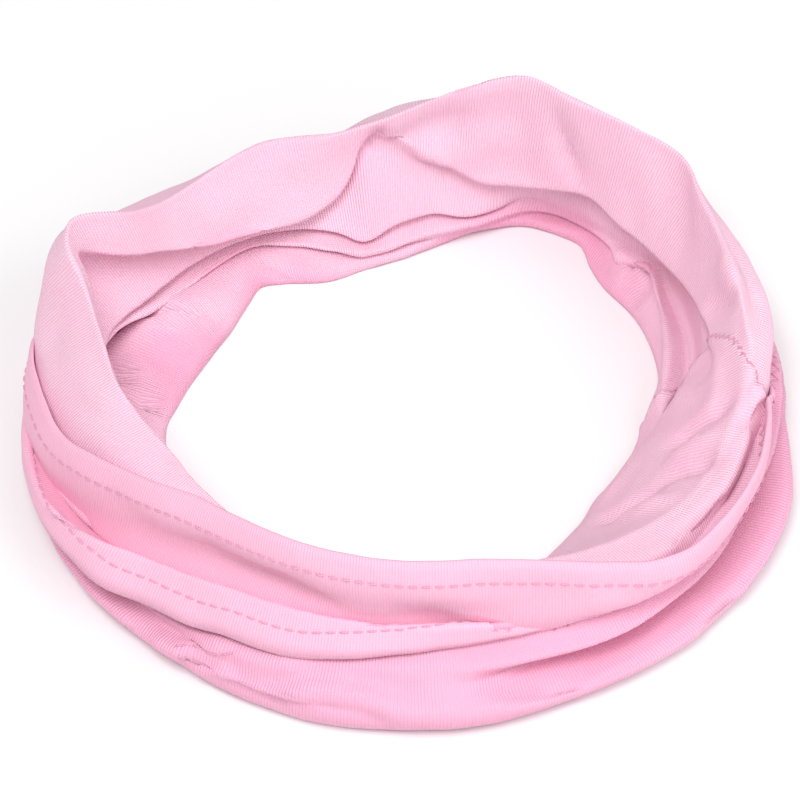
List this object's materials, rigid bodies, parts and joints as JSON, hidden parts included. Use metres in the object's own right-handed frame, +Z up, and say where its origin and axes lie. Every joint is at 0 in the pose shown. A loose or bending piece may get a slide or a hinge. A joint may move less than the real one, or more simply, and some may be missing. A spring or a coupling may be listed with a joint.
{
  "type": "sports headband",
  "caption": "Wide light pink stretch jersey sports headband, hemmed and seamed into a loop, lying on a table in soft folds.",
  "frame": {"origin": "centre of the loop at the level of the table it lies on", "axes": "+Z up out of the loop, -Y towards the side with the upper hem in front, +X to the right, where the seam across the strip lies"},
  "size_m": [0.1708, 0.1708, 0.0462],
  "materials": {
    "jersey": "matte",
    "thread": "satin"
  },
  "bodies": {
    "root": {"band_panel": "jersey", "upper_hem_needle_thread": "thread", "upper_hem_looper_thread": "thread", "lower_hem_needle_thread": "thread", "lower_hem_looper_thread": "thread", "seam_needle_thread": "thread", "seam_overlock_thread": "thread", "short_row_thread": "thread"}
  },
  "joints": []
}
